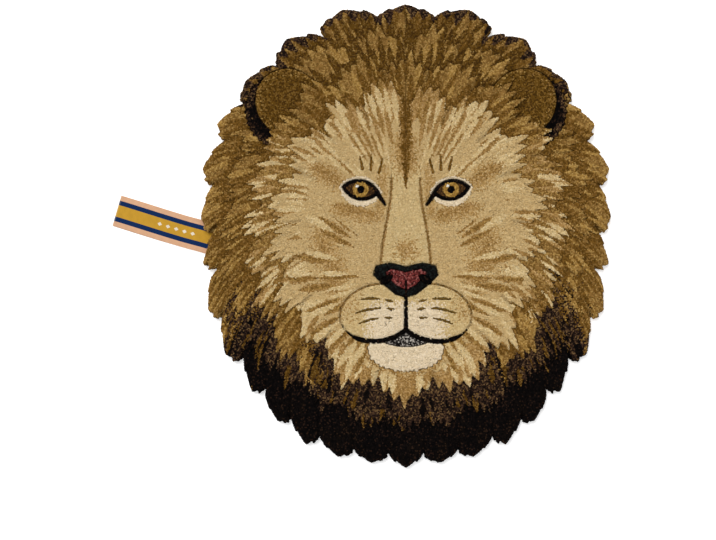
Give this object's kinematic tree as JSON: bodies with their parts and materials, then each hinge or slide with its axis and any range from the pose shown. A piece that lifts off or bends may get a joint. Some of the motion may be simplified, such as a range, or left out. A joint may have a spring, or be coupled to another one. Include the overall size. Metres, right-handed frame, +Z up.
{
  "type": "lion's head shaped kids rug with a ribbon label",
  "caption": "Flat lion's-head rug of cut pile, its edge a ring of mane locks, with a folded ribbon label sewn into the left edge.",
  "frame": {"origin": "middle of the rug's underside, on the surface that it lies on", "axes": "+Z up through the pile, +Y to the top of the lion's head, +X to the right-hand side as the rug is looked down on, so the label leaves on the -X side"},
  "size_m": [0.7539, 0.7, 0.015],
  "materials": {
    "wool_pile": "dense cut wool pile in blended tans, golden browns and blacks, matt, with grooves carved along the drawing",
    "woven_ribbon": "closely woven ribbon with lengthwise stripes in blush, mustard and navy, low sheen"
  },
  "bodies": {
    "root": {"rug": "wool_pile", "label": "woven_ribbon"}
  },
  "joints": []
}
